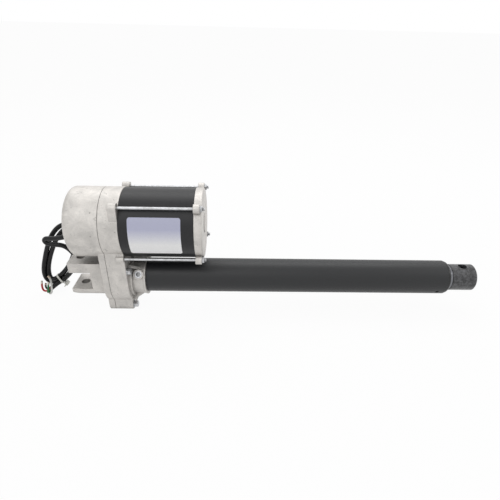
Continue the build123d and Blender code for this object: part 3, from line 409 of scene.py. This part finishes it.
def splineCurve(name, points, radius, sides=8):
    curve = bpy.data.curves.new(name, "CURVE")
    curve.dimensions = "3D"
    spline = curve.splines.new("NURBS")
    spline.points.add(len(points) - 1)
    for point, at in zip(spline.points, points):
        point.co = (*spot(*at), 1.0)
    spline.order_u = 4
    spline.use_endpoint_u = True
    spline.resolution_u = 12
    curve.bevel_depth = radius * mm
    curve.bevel_resolution = sides
    curve.use_fill_caps = True
    obj = bpy.data.objects.new(name, curve)
    bpy.context.scene.collection.objects.link(obj)
    return obj


def makeCable():
    turns = [strandPoint(step) for step in range(cableSettings["steps"])]
    points = cableSettings["lead"] + turns + cableSettings["tail"]
    cable = splineCurve("cable", points, cableSettings["diameter"] / 2)
    return place(cable, "housing", finishes["cable_jacket"],
                 ("cable_lead", "cable_hank", "cable_tail"))


wireSettings = {
    "radius": 1.45, "pitch": 1.55, "straight": 4.0, "bare": 5.0, "seat": 1.0,
    "tipSteps": (0.9, 0.4, -0.02), "tipSwell": 1.02, "roundness": 5,
    "red": (-1, -1, [(-71.8, 12.9, -43.6), (-75.3, 12.6, -42.2), (-77, 12.7, -37.8), (-76.4, 13, -31),
                     (-75, 13.3, -24.5)]),
    "black": (-1, 1, [(-73.6, 16.8, -39.5), (-73, 16.8, -35), (-71.6, 16.6, -31)]),
    "green": (1, -1, [(-68.6, 9.8, -43.6), (-66.9, 8.2, -40.6), (-65.6, 8.6, -36), (-64.9, 10, -30.2),
                      (-63.6, 11.2, -24.6)]),
    "white": (1, 1, [(-68.3, 13.6, -47.2), (-65.6, 11.3, -47.2), (-62.6, 10.2, -44), (-61.2, 9.8, -38.8),
                     (-60.2, 10.2, -31), (-59.5, 11, -24), (-60.2, 12, -18.5), (-63, 12.6, -14)]),
}


def asMesh(obj):
    # a plain mesh object in place of a curve or a modified object
    mesh = bpy.data.meshes.new_from_object(obj.evaluated_get(bpy.context.evaluated_depsgraph_get()))
    name = obj.name
    bpy.data.objects.remove(obj)
    mesh.name = name
    made = bpy.data.objects.new(name, mesh)
    bpy.context.scene.collection.objects.link(made)
    return made


def makeWires():
    tailEnd = Vector(cableSettings["tail"][-1])
    heading = (tailEnd - Vector(cableSettings["tail"][-2])).normalized()
    side = heading.cross(Vector((0, 1, 0))).normalized()
    back = side.cross(heading)
    pieces = []
    for colour, finish in wireFinishes.items():
        sideStep, backStep, route = wireSettings[colour]
        start = tailEnd + (side * sideStep + back * backStep) * wireSettings["pitch"]
        points = [start - heading * wireSettings["seat"], start + heading * wireSettings["straight"], *route]
        points = [tuple(point) for point in points]
        wire = splineCurve(colour + "Wire", points, wireSettings["radius"], wireSettings["roundness"])
        wire = smoothShade(asMesh(wire))
        tipEnd = Vector(route[-1])
        bare = (tipEnd - Vector(route[-2])).normalized() * wireSettings["bare"]
        tipPoints = [tuple(tipEnd - bare * step) for step in wireSettings["tipSteps"]]
        tip = splineCurve(colour + "Tip", tipPoints, wireSettings["radius"] * wireSettings["tipSwell"],
                          wireSettings["roundness"])
        tip = smoothShade(asMesh(tip))
        pieces.append(place(wire, "housing", finish))
        pieces.append(place(tip, "housing", tinnedFinish))
    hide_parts("cable_conductors")
    return pieces


tieSettings = {
    "place": (-50.5, 30.0, -29.2), "slope": 41.8, "width": 3.0, "band": 1.2, "gap": 0.15, "facets": 72,
    "head": (5.5, 8.0, 4.4), "headAway": 2.7, "headDrop": 1.5, "stub": (1.2, 4.0, 9.0), "stubDrop": 1.5,
    "edge": 0.35, "phases": (66.0, 186.0, 306.0), "loopIndex": 10,
}


def boxInto(work, middle, axes, size):
    # a box with its three half-edges along the given axes
    corners = []
    for a in (-0.5, 0.5):
        for b in (-0.5, 0.5):
            for c in (-0.5, 0.5):
                offset = axes[0] * size[0] * a + axes[1] * size[1] * b + axes[2] * size[2] * c
                corners.append(work.verts.new((middle + offset) * mm))
    for face in ((0, 1, 3, 2), (4, 6, 7, 5), (0, 4, 5, 1), (2, 3, 7, 6), (0, 2, 6, 4), (1, 5, 7, 3)):
        work.faces.new([corners[i] for i in face])


def bevelled(obj, width, segments=2, angle=40):
    bevel = obj.modifiers.new("edges", "BEVEL")
    bevel.width = width * mm
    bevel.segments = segments
    bevel.limit_method = "ANGLE"
    bevel.angle_limit = radians(angle)
    return smoothShade(asMesh(obj))


def makeTie():
    slope = radians(tieSettings["slope"])
    along = Vector((cos(slope), 0, sin(slope)))
    outward = Vector((sin(slope), 0, -cos(slope)))
    depth = Vector((0, 1, 0))
    middle = Vector(tieSettings["place"])
    tight = cableSettings["tight"]
    reach = tight + (cableSettings["loose"] - tight) * cableSettings["spread"][tieSettings["loopIndex"]]
    strands = [outward * reach * cos(radians(a)) + depth * cableSettings["deep"] * sin(radians(a))
               for a in tieSettings["phases"]]
    inner = cableSettings["diameter"] / 2 + tieSettings["gap"]
    outer = inner + tieSettings["band"]

    def fill(work):
        rings = []
        for number in range(tieSettings["facets"]):
            turn = 2 * pi * number / tieSettings["facets"]
            way = outward * cos(turn) + depth * sin(turn)
            strand = max(strands, key=lambda centre: centre.dot(way))
            ring = []
            for away, step in ((inner, -0.5), (inner, 0.5), (outer, 0.5), (outer, -0.5)):
                point = middle + strand + way * away + along * tieSettings["width"] * step
                ring.append(work.verts.new(point * mm))
            rings.append(ring)
        for here, following in zip(rings, rings[1:] + rings[:1]):
            for k in range(4):
                work.faces.new((here[k], following[k], following[(k + 1) % 4], here[(k + 1) % 4]))
        head = middle + outward * (tight + inner + tieSettings["headAway"]) - depth * tieSettings["headDrop"]
        boxInto(work, head, (outward, depth, along), tieSettings["head"])
        stub = head - depth * (tieSettings["head"][1] / 2 + tieSettings["stubDrop"])
        boxInto(work, stub, (outward, along, depth), tieSettings["stub"])

    tie = bevelled(meshPiece("cableTie", fill), tieSettings["edge"])
    return place(tie, "housing", finishes["white_nylon"], ("cable_tie",))


cable = makeCable()
wires = makeWires()
tie = makeTie()
print("cable made")


# Geometry Nodes: fasteners on points, every one along X

def startTree(name, inputs):
    tree = bpy.data.node_groups.new(name, "GeometryNodeTree")
    tree.interface.new_socket("Geometry", in_out="OUTPUT", socket_type="NodeSocketGeometry")
    tree.interface.new_socket("Points", in_out="INPUT", socket_type="NodeSocketGeometry")
    for label in inputs:
        kind = "NodeSocketMaterial" if label == "Finish" else "NodeSocketFloat"
        tree.interface.new_socket(label, in_out="INPUT", socket_type=kind)
    return tree, addNode(tree, "NodeGroupInput").outputs


def endTree(tree, geometry, finish):
    whole = addNode(tree, "GeometryNodeRealizeInstances", {"Geometry": geometry})
    painted = addNode(tree, "GeometryNodeSetMaterial", {"Geometry": whole.outputs[0], "Material": finish})
    addNode(tree, "NodeGroupOutput", {"Geometry": painted.outputs[0]})


def lifted(tree, geometry, step):
    # a shape moved by a step along its own Z
    lift = addNode(tree, "ShaderNodeCombineXYZ", {"Z": step}).outputs[0]
    return addNode(tree, "GeometryNodeTransform", {"Geometry": geometry, "Translation": lift}).outputs[0]


def cylinder(tree, sides, radius, depth, middle):
    # a cylinder along Z with its middle at the given height
    shape = addNode(tree, "GeometryNodeMeshCylinder", {
        "Vertices": sides, "Radius": radius, "Depth": depth}).outputs["Mesh"]
    return lifted(tree, shape, middle)


def calc(tree, operation, first, second=0.0):
    node = addNode(tree, "ShaderNodeMath", operation=operation)
    feed(tree, node.inputs[0], first)
    feed(tree, node.inputs[1], second)
    return node.outputs[0]


def joined(tree, *geometries):
    node = addNode(tree, "GeometryNodeJoinGeometry")
    for geometry in geometries:
        tree.links.new(geometry, node.inputs[0])
    return node.outputs[0]


def onPoints(tree, points, shape):
    quarter = addNode(tree, "ShaderNodeCombineXYZ", {"Y": pi / 2}).outputs[0]
    return addNode(tree, "GeometryNodeInstanceOnPoints", {
        "Points": points, "Instance": shape, "Rotation": quarter}).outputs[0]


# the crown's sizes are shares of the corner radius and of the head's height
headSettings = {
    "washerSides": 48, "headSides": 6, "crownSides": 48, "shankSides": 32,
    "crownFoot": 0.88, "crownTop": 0.66, "crownRise": 0.12,
}


def hexTree(inputs):
    # washer, hexagon with a low crown, and a shank that starts at the washer's back
    tree, values = startTree("hexFasteners", inputs)
    corner, height, thickness = values["Corner radius"], values["Height"], values["Washer thickness"]
    washer = cylinder(tree, headSettings["washerSides"], values["Washer radius"], thickness,
                      calc(tree, "MULTIPLY", thickness, 0.5))
    prism = cylinder(tree, headSettings["headSides"], corner, height,
                     calc(tree, "ADD", thickness, calc(tree, "MULTIPLY", height, 0.5)))
    crown = addNode(tree, "GeometryNodeMeshCone", {
        "Vertices": headSettings["crownSides"],
        "Radius Top": calc(tree, "MULTIPLY", corner, headSettings["crownTop"]),
        "Radius Bottom": calc(tree, "MULTIPLY", corner, headSettings["crownFoot"]),
        "Depth": calc(tree, "MULTIPLY", height, headSettings["crownRise"])}).outputs["Mesh"]
    crown = lifted(tree, crown, calc(tree, "ADD", thickness, height))
    shank = cylinder(tree, headSettings["shankSides"], values["Shank radius"], values["Shank length"],
                     calc(tree, "MULTIPLY", values["Shank length"], -0.5))
    fasteners = onPoints(tree, values["Points"], joined(tree, washer, prism, crown, shank))
    endTree(tree, fasteners, values["Finish"])
    return tree


# the ridge's size is a share of the pitch
threadSettings = {"barSides": 40, "turnSteps": 28, "ridgeCorners": 4, "ridge": 0.42}


def barTree(inputs):
    # round bar with a rolled thread at its far end
    tree, values = startTree("threadedBars", inputs)
    bar = cylinder(tree, threadSettings["barSides"], values["Radius"], values["Length"],
                   calc(tree, "MULTIPLY", values["Length"], 0.5))
    turns = calc(tree, "DIVIDE", values["Thread length"], values["Pitch"])
    helix = addNode(tree, "GeometryNodeCurveSpiral", {
        "Resolution": threadSettings["turnSteps"], "Rotations": turns, "Start Radius": values["Radius"],
        "End Radius": values["Radius"], "Height": values["Thread length"]}).outputs[0]
    helix = addNode(tree, "GeometryNodeSetCurveNormal", {"Curve": helix}, mode="Z_UP").outputs[0]
    ridge = addNode(tree, "GeometryNodeCurvePrimitiveCircle", {
        "Resolution": threadSettings["ridgeCorners"],
        "Radius": calc(tree, "MULTIPLY", values["Pitch"], threadSettings["ridge"])}).outputs[0]
    thread = addNode(tree, "GeometryNodeCurveToMesh", {
        "Curve": helix, "Profile Curve": ridge, "Fill Caps": True}).outputs[0]
    thread = lifted(tree, thread, calc(tree, "SUBTRACT", values["Length"], values["Thread length"]))
    endTree(tree, onPoints(tree, values["Points"], joined(tree, bar, thread)), values["Finish"])
    return tree


def growOnPoints(name, tree, points, values):
    # points become a mesh, the tree grows the shapes, and the result is a plain mesh
    mesh = bpy.data.meshes.new(name)
    mesh.from_pydata([tuple(point) for point in points], [], [])
    obj = bpy.data.objects.new(name, mesh)
    bpy.context.scene.collection.objects.link(obj)
    modifier = obj.modifiers.new("grow", "NODES")
    modifier.node_group = tree
    for item in tree.interface.items_tree:
        if item.item_type == "SOCKET" and item.in_out == "INPUT" and item.name in values:
            modifier[item.identifier] = values[item.name]
    return smoothShade(asMesh(obj), 30)


def corners(node):
    low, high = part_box(node)
    return Vector(low), Vector(high)


screwSettings = {
    "Corner radius": 5.1 * mm, "Height": 5.0 * mm, "Washer radius": 5.6 * mm, "Washer thickness": 0.9 * mm,
    "Shank radius": 2.5 * mm, "Shank length": 29.0 * mm, "Finish": finishes["zinc_steel"],
}
nutSettings = {
    "Corner radius": 4.4 * mm, "Height": 2.6 * mm, "Washer radius": 4.7 * mm, "Washer thickness": 0.6 * mm,
    "Shank radius": 2.2 * mm, "Shank length": 0.3 * mm, "Finish": finishes["zinc_steel"],
}
rodSettings = {
    "Radius": 1.9 * mm, "Thread length": 9.0 * mm, "Pitch": 0.8 * mm, "Finish": finishes["zinc_steel"],
}
screwPlaces = {"neck": (33.5, 26.5), "foot": (22.0, -39.7), "upperCircle": 39.0, "upperAngles": (20, 90, 160)}


def makeFasteners():
    shellLow, shellHigh = corners("motor_shell")
    faceX = shellLow.x
    axisZ = (shellLow.z + shellHigh.z) / 2
    lowerPlaces = (screwPlaces["neck"], screwPlaces["foot"])
    spots = [Vector((faceX, side * y * mm, z * mm)) for y, z in lowerPlaces for side in (-1, 1)]
    reach = screwPlaces["upperCircle"] * mm
    for angle in screwPlaces["upperAngles"]:
        spots.append(Vector((faceX, reach * cos(radians(angle)), axisZ + reach * sin(radians(angle)))))
    hexes = hexTree(screwSettings)
    screws = growOnPoints("caseScrews", hexes, spots, screwSettings)
    place(screws, "housing", replaced=("case_screws",))
    low, high = corners("tie_rods")
    radius = rodSettings["Radius"]
    tieSpots = [(y, z) for y in (low.y + radius, high.y - radius) for z in (low.z + radius, high.z - radius)]
    nutX = corners("tie_rod_nuts")[0].x
    nuts = growOnPoints("tieRodNuts", hexes, [(nutX, y, z) for y, z in tieSpots], nutSettings)
    place(nuts, "housing", replaced=("tie_rod_nuts",))
    values = {**rodSettings, "Length": high.x - low.x}
    rods = growOnPoints("tieRods", barTree(values), [(low.x, y, z) for y, z in tieSpots], values)
    place(rods, "housing", replaced=("tie_rods",))


makeFasteners()
print("fasteners made")


# Floor, world and lamps

floorSettings = {"tone": (248, 248, 248), "glow": 0.95, "half": 14.0, "drop": 0.0005}
lightSettings = {
    "world": 0.5, "seen": 1.0,
    "key": ((0.28, 0.75, 1.35), (1.9, 0.8), 9.0),
    "front": ((-0.35, -1.1, 1.3), (1.2, 0.9), 4.0),
    "side": ((1.5, -0.3, 0.9), (0.8, 0.8), 2.0),
}


def seenRays(tree):
    # 1 for the camera, for reflections and through glass
    path = addNode(tree, "ShaderNodeLightPath").outputs
    return calc(tree, "MAXIMUM", path["Is Camera Ray"],
                calc(tree, "MAXIMUM", path["Is Glossy Ray"], path["Is Transmission Ray"]))


def makeFloor():
    half = floorSettings["half"]
    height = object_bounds()[0][2] - floorSettings["drop"]
    outline = [(x * half, y * half, height) for x, y in ((-1, -1), (1, -1), (1, 1), (-1, 1))]
    mesh = bpy.data.meshes.new("floor")
    mesh.from_pydata(outline, [], [(0, 1, 2, 3)])
    floor = bpy.data.objects.new("floor", mesh)
    bpy.context.scene.collection.objects.link(floor)
    material, tree, shader = startFinish("floorPaper")[:3]
    shader.inputs["Base Color"].default_value = linear(*floorSettings["tone"])
    shader.inputs["Roughness"].default_value = 0.9
    shader.inputs["Specular IOR Level"].default_value = 0.0
    glow = addNode(tree, "ShaderNodeEmission", {"Color": (1, 1, 1, 1), "Strength": 1.0}).outputs[0]
    share = calc(tree, "MULTIPLY", seenRays(tree), floorSettings["glow"])
    mixed = addNode(tree, "ShaderNodeMixShader", {0: share, 1: shader.outputs[0], 2: glow})
    tree.links.new(mixed.outputs[0], tree.nodes["Material Output"].inputs["Surface"])
    mesh.materials.append(material)
    floor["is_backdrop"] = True


def makeWorld():
    world = bpy.data.worlds.new("studio")
    bpy.context.scene.world = world
    world.use_nodes = True
    tree = world.node_tree
    background = tree.nodes["Background"]
    background.inputs["Color"].default_value = (1, 1, 1, 1)
    extra = calc(tree, "MULTIPLY", seenRays(tree), lightSettings["seen"] - lightSettings["world"])
    feed(tree, background.inputs["Strength"], calc(tree, "ADD", extra, lightSettings["world"]))


def makeLamps():
    low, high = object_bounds()
    middle = (Vector(low) + Vector(high)) / 2
    for name in ("key", "front", "side"):
        at, size, power = lightSettings[name]
        lamp = bpy.data.lights.new(name, "AREA")
        lamp.shape = "RECTANGLE"
        lamp.size, lamp.size_y = size
        lamp.energy = power
        obj = bpy.data.objects.new(name, lamp)
        obj.location = at
        obj.rotation_euler = (middle - Vector(at)).to_track_quat("-Z", "Y").to_euler()
        bpy.context.scene.collection.objects.link(obj)


makeFloor()
makeWorld()
makeLamps()
bpy.context.scene.view_settings.view_transform = "Standard"
print("floor, world and lamps made")
